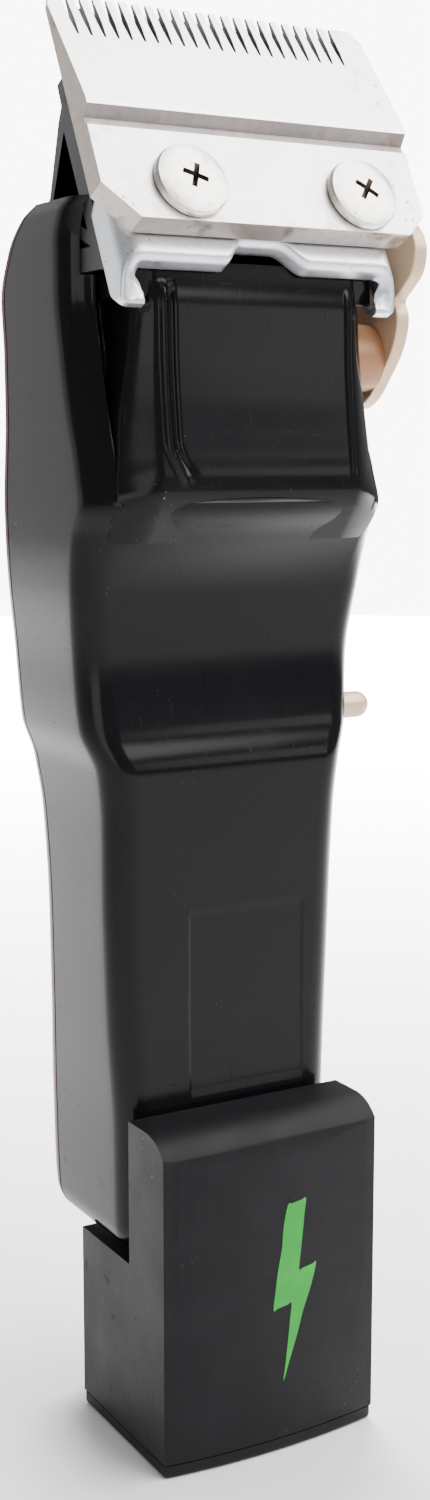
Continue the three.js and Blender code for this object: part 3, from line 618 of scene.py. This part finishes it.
def nose_block():
    """The block that carries the blade bracket: flat panel, ribs, chamfers and side walls."""
    heights = np.unique(np.concatenate([np.arange(NOSE_Z0, NOSE_Z1, 0.4), [NOSE_Z1]]).round(3))
    across = np.concatenate([np.linspace(0, 10.6, 18), np.arange(10.8, 14.75, 0.15)])
    chamfer = np.linspace(0, 1, 14)[1:]
    wall = np.linspace(0, 1, 9)[1:]
    rows = []
    for z in heights:
        face, half = float(smooth(NOSE_SIDE, z)), float(smooth(NOSE_HALF, z))
        half_row = [(x, face) for x in across]
        x0, y0 = half_row[-1]
        fall = (half - NOSE_PANEL) * (0.35 + 0.4 * float(ramp(z, 128.0, 136.0)))
        for t in chamfer:
            half_row.append((x0 + (half - x0) * t, y0 + fall * t ** 1.4))
        x1, y1 = half_row[-1]
        for t in wall:
            half_row.append((x1, y1 + (NOSE_BACK_Y - y1) * t))
        row = [(-x, y) for x, y in reversed(half_row[1:])] + half_row
        rows.append([(x, y + (float(nose_depth(x, z)) if abs(x) < 14.75 else 0.0), z) for x, y in row])
    outer = np.array(rows)
    inner = outer.copy()
    inner[..., 0] *= 0.86
    inner[..., 1] = np.minimum(outer[..., 1] + 1.8, NOSE_BACK_Y)
    return thick_grid(outer, inner, np.ones((len(rows) - 1, outer.shape[1] - 1), bool))


def nose_depth(x, z):
    """How far the nose panel sinks in or, at its ribs, stands out."""
    panel = ramp(z, 133.2, 137.5) * (1 - ramp(z, 157.8, 158.8))
    centre = 13.8 - 2.4 * (1 - ramp(z, 132.5, 139.0))
    rib = -0.7 * hump(-x, centre, 0.85) * panel
    groove = 0.6 * hump(-x, centre - 1.3, 0.8) * panel
    fine_rib = 0.15 * hump(x, 13.9, 0.5) * panel
    return (rib + groove) * np.where(x < 0, 1.0, 0.0) - fine_rib * np.where(x > 0, 1.0, 0.0)


def housing_base():
    """The plate that closes the casing's foot, with the plug's hole."""
    w, f, p = (float(smooth(STATIONS, 27.7, k)) for k in (1, 2, 3))
    r = 3.4
    corner = [(math.cos(a), math.sin(a)) for a in np.linspace(math.pi, 1.5 * math.pi, 9)]
    left = [(-w + r + r * c, f + r + r * s) for c, s in corner]
    outline = left + [(-x, y) for x, y in reversed(left)] + [(w, p), (-w, p)]
    plate = prism([(0.985 * x, y + 0.05 * (1 if y < 5 else -1)) for x, y in outline], 27.62, 29.5, "Z")
    return cut(rounded(plate, 0.3), rod(4.3, "Z", (0, PLUG_Y, 0), 25, 31))


def lid_shell():
    """The crowned burgundy lid, which rounds off towards both ends."""
    heights = np.unique(np.concatenate([
        np.linspace(FOOT_Z, 31, 12), np.arange(31.0, 160, 1.0), np.linspace(160, TOP_Z, 28)]).round(3))
    angles = np.linspace(0, math.pi, 73)
    x_unit = np.sign(np.cos(angles)) * np.abs(np.cos(angles)) ** LID_POWER
    y_unit = np.sin(angles) ** LID_POWER
    y_unit[0] = y_unit[-1] = 0

    def form(inset):
        grid = np.zeros((len(heights), len(angles) + 2, 3))
        for i, z in enumerate(heights):
            w, p = float(smooth(STATIONS, z, 1)), float(smooth(STATIONS, z, 3))
            run = min(1, (z - FOOT_Z + 1) / LID_RUN, (TOP_Z - z + 1) / LID_RUN)
            crown = LID_CROWN * math.sqrt(1 - (1 - run) ** 2) - inset
            grid[i, 1:-1, 0] = x_unit * (w - inset)
            grid[i, 1:-1, 1] = p + GAP + y_unit * crown
            grid[i, 0, :2] = (w - inset, p + GAP)
            grid[i, -1, :2] = (-w + inset, p + GAP)
            grid[i, :, 2] = z
        return grid

    outer, inner = form(0), form(LID_WALL)
    return thick_grid(outer, inner, np.ones((len(heights) - 1, outer.shape[1] - 1), bool))


def lid_ends():
    """Closing plates of the lid at its bottom and top."""
    plates = []
    crown = LID_CROWN * math.sqrt(1 - (1 - 1 / LID_RUN) ** 2)
    for z, lo, hi in ((27.7, 27.62, 29.4), (169.4, 167.4, 169.5)):
        w, p = float(smooth(STATIONS, z, 1)), float(smooth(STATIONS, z, 3))
        outline = [(0.985 * w * math.copysign(abs(math.cos(a)) ** LID_POWER, math.cos(a)),
                    p + GAP + 0.05 + 0.95 * crown * math.sin(a) ** LID_POWER)
                   for a in np.linspace(0.02, math.pi - 0.02, 41)]
        plates.append(prism(outline, lo, hi, "Z"))
    return joined(*plates)


# ---- blade group ----------------------------------------------------------------------------
def phillips_screw(head_r, head_h, shank_r, length):
    """Low domed head towards -Y from y = 0, shank towards +Y, with a tapered cross recess."""
    dome = [(0, -head_h)]
    dome += [(head_r * t, -head_h * (1 - 0.42 * t ** 2.6)) for t in (0.25, 0.45, 0.62, 0.76, 0.87, 0.95)]
    dome += [(head_r * 0.985, -head_h * 0.5), (head_r, -head_h * 0.4), (head_r, -0.15), (head_r - 0.15, 0),
             (shank_r, 0), (shank_r, length), (0, length)]
    body = lathe(dome, "Y", (0, 0, 0))
    top, low, wide = head_r * CROSS_ARM, head_r * CROSS_ARM * 0.4, head_r * CROSS_WIDTH
    above, floor = -head_h - 0.4, -head_h * 0.2
    tools = []
    for k in range(2):
        bar = prism([(-top, above), (top, above), (low, floor), (-low, floor)], -wide, wide, "Z")
        if k:
            bar.transform(Matrix.Rotation(math.pi / 2, 4, "Y"))
        tools.append(bar)
    tools.append(lathe([(0, above), (wide * 2.1, above), (wide * 1.5, floor), (0, floor)], "Y", (0, 0, 0), 4))
    return cut(body, *tools)


def mark_recess(mesh, place):
    """Gives the faces of the recess the second material."""
    reach = SCREW_HEAD_R * CROSS_ARM * 1.02
    for face in mesh.polygons:
        c = (face.center - place) / MM
        within = math.hypot(c.x, c.z) < reach and -SCREW_HEAD_H * 0.97 < c.y < -0.1
        if within and (abs(face.normal.y) < 0.75 or c.y > -SCREW_HEAD_H * 0.5):
            face.material_index = 1


def blade_screw(x, turn):
    """A blade screw in the blade group's frame, its cross turned by an angle."""
    place = Vector((x * MM, SCREW_Y * MM, SCREW_Z * MM))
    mesh = phillips_screw(SCREW_HEAD_R, SCREW_HEAD_H, SCREW_SHANK_R, SCREW_LENGTH)
    mesh.transform(Matrix.Rotation(turn, 4, "Y"))
    mesh.transform(Matrix.Translation(place))
    mark_recess(mesh, place)
    return mesh


def fixed_blade():
    """The bottom blade, with painted shade on the flanks between its teeth and in its groove, and a darker
    finish on its edge faces.
    """
    mesh = refined("bottom_blade", 0.1)
    back = LEAN.inverted()
    turn = back.to_3x3()
    for face in mesh.polygons:
        c = back @ face.center / MM
        n = turn @ face.normal
        # Flanks between the teeth: painted shade.
        if c.z > 22.2 and abs(n.x) > 0.5 and abs(c.x) < 22.0:
            face.material_index = 1
        # Groove: painted shade.
        elif 8.3 < c.z < 10.75 and c.y < 2 and abs(n.x) < 0.5:
            face.material_index = 2
        # Edge faces behind the front face: the darker edge finish.
        elif c.y > 0.2 and abs(n.y) < 0.6 and c.z < 22:
            face.material_index = 3
    return mesh


def bend(centre, start, turn, radius, steps):
    """Points round a bend: from the start direction through a turn, both in radians."""
    return [(centre[0] + radius * math.cos(start + turn * k / steps),
             centre[1] + radius * math.sin(start + turn * k / steps)) for k in range(steps + 1)]


def bracket_sheet():
    """The zinc bracket: one pressed sheet with a front web, two side legs and a lip along its lower edge."""
    y0, radius, half, thick = 3.7, 3.0, 20.5, 1.1
    path = [(half, y) for y in np.linspace(9.4, y0 + radius + 0.1, 9)]
    path += bend((half - radius, y0 + radius), 0, -math.pi / 2, radius, 8)
    path += [(x, y0) for x in np.linspace(half - radius, 0, 36)[1:]]
    path += [(-x, y) for x, y in reversed(path[:-1])]
    n = len(path)
    pts = np.array(path)
    tangent = np.gradient(pts, axis=0)
    tangent /= np.linalg.norm(tangent, axis=1)[:, None]
    inward = np.stack([tangent[:, 1], -tangent[:, 0]], axis=1)
    rows = 16
    lip_steps = 7
    outer = np.zeros((rows + lip_steps, n, 3))
    inner = outer.copy()
    for j, (x, y) in enumerate(path):
        leg = min(1.0, max(0.0, (y - y0) / 3.4))
        top = 4.6 - 2.6 * max(0.0, (y - y0 - 1.5) / 4.0)
        notch = 2.7 * float(ramp(x, -5.8, -3.0) * (1 - ramp(x, 2.2, 6.6)))
        low = -7.2 - 4.6 * leg ** 1.2 + notch
        low += 1.2 * max(0.0, y - 8.2)
        lip = 2.3 - 1.5 * float(hump(leg, 0.35, 0.5))
        for i in range(rows):
            outer[i, j] = (x, y, top + (low + 1.1 - top) * i / (rows - 1))
        for k in range(lip_steps):
            t = (k + 1) / lip_steps
            a = min(1.0, t / 0.55) * math.pi / 2
            run = 1.1 * (1 - math.cos(a)) + lip * max(0.0, t - 0.55) / 0.45 * 0.9
            drop = 1.1 * math.sin(a)
            outer[rows + k, j] = (x + inward[j, 0] * run, y + inward[j, 1] * run, low + 1.1 - drop)
        for i in range(rows + lip_steps):
            share = max(0.0, (i - rows + 1) / lip_steps)
            up = min(1.0, share / 0.55) * math.pi / 2 if i >= rows else 0.0
            side = thick * math.cos(up)
            inner[i, j] = outer[i, j] + (inward[j, 0] * side, inward[j, 1] * side, thick * math.sin(up))
    mesh = thick_grid(outer, inner, np.ones((rows + lip_steps - 1, n - 1), bool))
    tools = [rod(1.8, "Y", (x, 0, SCREW_Z), 0, 8, 32) for x in (SCREW_LEFT_X, SCREW_RIGHT_X)]
    return rounded(cut(mesh, *tools), 0.12, 2, 50)


# ---- lever and switch -----------------------------------------------------------------------
# The lever's rim as (y, z) points.
LEVER_RIM = [
    (-6.6, 167.4), (-8.2, 164.8), (-7.6, 161.5), (-5.2, 159.3), (-3.6, 157.9), (-4.3, 156.2), (-4.2, 153.9),
    (-2.9, 150.9), (-0.2, 147.6), (2.6, 144.8), (6.0, 143.6), (9.2, 145.6), (10.4, 150.2), (8.4, 155.0),
    (5.0, 159.4), (2.8, 163.4), (-0.6, 167.0), (-3.9, 168.7)]


def closed_curve(points, per=9):
    """A smooth closed curve through the points."""
    pts = [np.array(p, float) for p in points]
    out = []
    n = len(pts)
    for i in range(n):
        a, b, c, d = pts[i - 1], pts[i], pts[(i + 1) % n], pts[(i + 2) % n]
        for k in range(per):
            t = k / per
            out.append(tuple(0.5 * (2 * b + (c - a) * t + (2 * a - 5 * b + 4 * c - d) * t * t
                                    + (3 * b - a - 3 * c + d) * t ** 3)))
    return out


def lever_plate():
    """The lever's plate, with a sink and a bore for its screw."""
    plate = prism(closed_curve(LEVER_RIM), LEVER_X0, LEVER_X1)
    sink = rod(LEVER_SINK_R, "X", (0, LEVER_Y, LEVER_Z), 24.5, 28)
    bore = rod(LEVER_BORE_R, "X", (0, LEVER_Y, LEVER_Z), 20, 28, 40)
    return rounded(cut(plate, sink, bore), 0.45, 4, 40)


def lever_boss():
    """The ring on which the lever turns in the housing's notch."""
    x0, x1 = 19.0, LEVER_X0 + 0.1
    ring = [(LEVER_BORE_R, x0), (LEVER_BOSS_R, x0), (LEVER_BOSS_R, x1),
            (LEVER_BORE_R, x1), (LEVER_BORE_R, x0)]
    return lathe(ring, "X", (0, LEVER_Y, LEVER_Z))


def switch_nub():
    """The switch's round-ended pin."""
    foot_x = 16.8
    profile = [(0, foot_x), (SWITCH_R, foot_x)]
    profile += [(SWITCH_R * math.cos(a), 23.3 + SWITCH_R * math.sin(a))
                for a in np.linspace(0, math.pi / 2, 12)]
    profile[-1] = (0, SWITCH_TIP_X)
    return lathe(profile, "X", (0, SWITCH_Y, SWITCH_Z), 48)


# ---- charging adapter -----------------------------------------------------------------------
def adapter_outline(inset, low):
    """The adapter seen from the side: a tall rounded front and a low ledge behind it."""
    front, top, r = -ADAPTER_Y + inset, ADAPTER_TOP - inset, ADAPTER_NOSE_R - inset
    arc = [(front + r + r * math.cos(a), top - r + r * math.sin(a))
           for a in np.linspace(math.pi / 2, math.pi, 20)]
    return [(front, low), (ADAPTER_Y - inset, low), (ADAPTER_Y - inset, LEDGE_Z - inset),
            (WALL_BACK - inset, LEDGE_Z - inset), (WALL_BACK - inset, top), *arc]


def adapter_plan(shift, z0, z1):
    """The adapter seen from above: three straight sides and a bowed front, which the shift moves inwards."""
    front = [(x, shift - ADAPTER_Y + ADAPTER_BOW * (x / ADAPTER_X) ** 2)
             for x in np.linspace(ADAPTER_X, -ADAPTER_X, 33)]
    return prism([(-ADAPTER_X, ADAPTER_Y), (ADAPTER_X, ADAPTER_Y), *front], z0, z1, "Z")


def adapter_shell():
    """The case: rounded outside, a sharp lower edge at the seam, hollow for the coil."""
    outer = kept_inside(prism(adapter_outline(0, -4), -ADAPTER_X, ADAPTER_X), adapter_plan(0, -3, 60))
    outer = rounded(outer, ADAPTER_EDGE, 4, 40)
    below = block(-30, 30, -30, 30, -10, COVER_T + SEAM)
    half = ADAPTER_X - ADAPTER_WALL
    core = prism(adapter_outline(ADAPTER_WALL, -5), -half, half)
    inner = kept_inside(core, adapter_plan(ADAPTER_WALL, -6, 60))
    return cut(outer, below, inner, rod(2.5, "Z", (0, PLUG_Y, 0), 22, 31, 40))


def adapter_cover():
    """The adapter's bottom plate, with sinks for its four screws."""
    plate = rounded(adapter_plan(0, 0, 12), ADAPTER_EDGE, 4, 40)
    sinks = [rod(2.0, "Z", (i * 13.1, j * 9.9, 0), -1, 1.1, 32) for i in (-1, 1) for j in (-1, 1)]
    return cut(plate, block(-30, 30, -30, 30, COVER_T, 20), *sinks)


def painted_mark():
    """A plain hand-painted bolt on the front of the adapter."""
    bolt = [(1.6, 36.0), (4.6, 36.4), (3.6, 26.2), (6.6, 26.6), (1.2, 10.4), (2.3, 21.6), (-0.6, 21.2)]
    soft = closed_curve([(a + 0.12 * math.sin(3 * b), b) for a, b in subdivided(bolt, 5)], 3)
    mesh = prism(soft, -14.2, -12.0, "Y")
    return kept_inside(mesh, paint_layer())


def subdivided(points, per):
    """The closed outline with extra points along its straight edges."""
    out = []
    for (a, b), (c, d) in zip(points, points[1:] + points[:1]):
        out += [(a + (c - a) * k / per, b + (d - b) * k / per) for k in range(per)]
    return out


def paint_layer():
    """A thin bowed layer over the front of the adapter."""
    return cut(adapter_plan(-0.05, 3, 44), adapter_plan(0.3, 0, 50))


# ---- placing every piece --------------------------------------------------------------------
def build_clipper():
    piece("housing_shell", housing_shell(), "clipper", BLACK, ["lower_housing"])
    piece("housing_nose", nose_block(), "clipper", BLACK, ["lower_housing"])
    rail = rounded(block(-18.2, 18.2, -6.2, 3.7, 156.8, 161.4), 0.4)
    piece("housing_rail", rail, "clipper", BLACK, ["lower_housing"])
    piece("housing_base", housing_base(), "clipper", BLACK, ["lower_housing"])
    piece("lid_shell", lid_shell(), "clipper", BURGUNDY, ["lid"])
    piece("lid_ends", lid_ends(), "clipper", BURGUNDY, ["lid"])


def build_blades():
    piece("blade_fixed", fixed_blade(), "bottom_blade",
          [BLADE_PLATE, SHADED_STEEL, GROOVE_SHADE, DARK_EDGE_FACES], ["bottom_blade"], 24)
    # The cutter gets the dark steel, painted shade for its place behind the bottom blade.
    piece("blade_moving", refined("cutter_blade", 0.07), "cutter",
          SHADED_STEEL, ["cutter_blade"], 24)
    piece("bracket_sheet", moved(bracket_sheet(), LEAN), "bottom_blade", ZINC, ["taper_bracket"], 40)
    screws = (("blade_screw_left", SCREW_LEFT_X, 0.35), ("blade_screw_right", SCREW_RIGHT_X, 0.6))
    for name, x, turn in screws:
        screw = moved(blade_screw(x, turn), LEAN)
        piece(name + "_detail", screw, "bottom_blade", [NICKEL, RECESS], [name], 28)


def build_lever_and_switch():
    piece("lever_plate", lever_plate(), "lever", GOLD, ["taper_lever"])
    # The boss gets the darker gold as painted shade.
    piece("lever_boss", lever_boss(), "lever", SHADED_GOLD, ["taper_lever"])
    piece("switch_nub", switch_nub(), "power_switch", GOLD, ["power_switch"])


def build_adapter():
    piece("adapter_case", adapter_shell(), "adapter", MATT, ["adapter_shell"])
    piece("adapter_cover", adapter_cover(), "adapter", MATT, ["adapter_bottom_cover"])
    piece("adapter_mark", painted_mark(), "adapter", PAINT)


# Pieces that keep the shape of their node: node, body, slot, material, width of the rounding (0 for none).
KEPT = [
    ("tension_frame", "clipper", "black_frame", FRAME_BLACK, 0.22),
    ("tension_spring", "clipper", "blade_steel", STEEL, 0),
    ("motor_can", "clipper", "blade_steel", STEEL, 0.3),
    ("motor_end_cap", "clipper", "black_matt", MATT, 0.2),
    ("motor_mount", "clipper", "black_matt", MATT, 0.2),
    ("battery_cell", "clipper", "cell_wrap", WRAP, 0.2),
    ("circuit_board", "clipper", "board_green", BOARD, 0.1),
    ("switch_body", "clipper", "black_matt", MATT, 0.15),
    ("charge_jack", "clipper", "black_matt", MATT, 0.2),
    ("case_screw_left", "clipper", "nickel", NICKEL, 0.06),
    ("case_screw_right", "clipper", "nickel", NICKEL, 0.06),
    ("lever_screw", "clipper", "nickel", NICKEL, 0.12),
    ("motor_shaft", "rotor", "blade_steel", STEEL, 0.1),
    ("eccentric_cam", "rotor", "black_matt", MATT, 0.15),
    ("drive_yoke", "cutter", "black_matt", MATT, 0.2),
    ("adapter_screw_front_left", "adapter", "nickel", NICKEL, 0.05),
    ("adapter_screw_front_right", "adapter", "nickel", NICKEL, 0.05),
    ("adapter_screw_back_left", "adapter", "nickel", NICKEL, 0.05),
    ("adapter_screw_back_right", "adapter", "nickel", NICKEL, 0.05),
    ("receiver_coil", "adapter", "copper", COPPER, 0.15),
    ("ferrite_sheet", "adapter", "ferrite", FERRITE, 0.1),
    ("adapter_board", "adapter", "board_green", BOARD, 0.1),
    ("adapter_plug", "adapter", "nickel", NICKEL, 0.15)]


def build_kept():
    for node, body, slot, material, width in KEPT:
        if width:
            piece(node + "_detail", refined(node, width), body, material, [node])
        else:
            for entry in NODES[node].material_slots:
                entry.material = material


# ---- floor, light and camera ------------------------------------------------------------------
def plain(name, color, rough=0.9):
    """A matt finish with a barely uneven tone."""
    f = Finish(name, color, rough)
    f.tint(f.band(f.noise(6, 3), 0.3, 0.7), tuple(c * 0.985 for c in color), 0.5)
    return f.done()


def build_stage():
    """A round floor just under the adapter."""
    radius, sides, below = 1300, 96, -0.02
    rim = [(radius * math.cos(a), radius * math.sin(a), below)
           for a in np.linspace(0, 2 * math.pi, sides + 1)[:-1]]
    floor_mesh = mesh_from(rim, [tuple(range(sides))])
    floor_mesh.materials.append(plain("floor", (0.93, 0.915, 0.92)))
    floor = bpy.data.objects.new("floor", floor_mesh)
    bpy.context.scene.collection.objects.link(floor)


def area_light(name, place, target, size, power, spread):
    """A rectangular soft box in metres, aimed at its target."""
    data = bpy.data.lights.new(name, "AREA")
    data.shape = "RECTANGLE"
    data.size, data.size_y = size
    data.energy = power
    data.spread = math.radians(spread)
    obj = bpy.data.objects.new(name, data)
    obj.location = place
    obj.rotation_euler = (Vector(target) - Vector(place)).to_track_quat("-Z", "Y").to_euler()
    bpy.context.scene.collection.objects.link(obj)


def build_light():
    """Soft boxes, and a world that looks white behind the object but lights it only faintly."""
    world = bpy.data.worlds.new("studio")
    world.use_nodes = True
    tree = world.node_tree
    soft = tree.nodes["Background"]
    soft.inputs[1].default_value = 0.3
    white = tree.nodes.new("ShaderNodeBackground")
    white.inputs[1].default_value = 9.0
    for background in (soft, white):
        background.inputs[0].default_value = (1, 1, 1, 1)
    mix = tree.nodes.new("ShaderNodeMixShader")
    tree.links.new(tree.nodes.new("ShaderNodeLightPath").outputs["Is Camera Ray"], mix.inputs[0])
    tree.links.new(soft.outputs[0], mix.inputs[1])
    tree.links.new(white.outputs[0], mix.inputs[2])
    tree.links.new(mix.outputs[0], tree.nodes["World Output"].inputs[0])
    bpy.context.scene.world = world
    area_light("front_box", (0.45, -0.38, 0.82), (0, 0, 0.17), (1.1, 1.0), 24, 180)
    area_light("floor_box", (0.55, 0.85, 1.25), (0.55, 0.85, 0), (1.0, 1.0), 100, 62)
    area_light("left_box", (-0.55, 0.75, 0.3), (0, 0, 0.12), (0.9, 0.9), 2.6, 180)
    area_light("left_fill", (-0.66, -0.62, 0.16), (0, 0, 0.14), (0.5, 0.4), 1.6, 180)
    area_light("right_fill", (0.50, -0.75, 0.25), (0, 0, 0.14), (0.22, 0.18), 0.3, 180)


def build_camera():
    data = bpy.data.cameras.new("camera")
    data.sensor_fit = "VERTICAL"
    data.sensor_height = 36
    data.lens = 44.95
    data.clip_start = 0.01
    obj = bpy.data.objects.new("camera", data)
    obj.location = (-0.1280, -0.21841, 0.1384)
    obj.rotation_euler = (math.radians(90 - 9.22), 0, math.radians(-29.92))
    bpy.context.scene.collection.objects.link(obj)
    bpy.context.scene.camera = obj


build_camera()
build_stage()
build_light()
build_clipper()
build_blades()
build_lever_and_switch()
build_adapter()
build_kept()
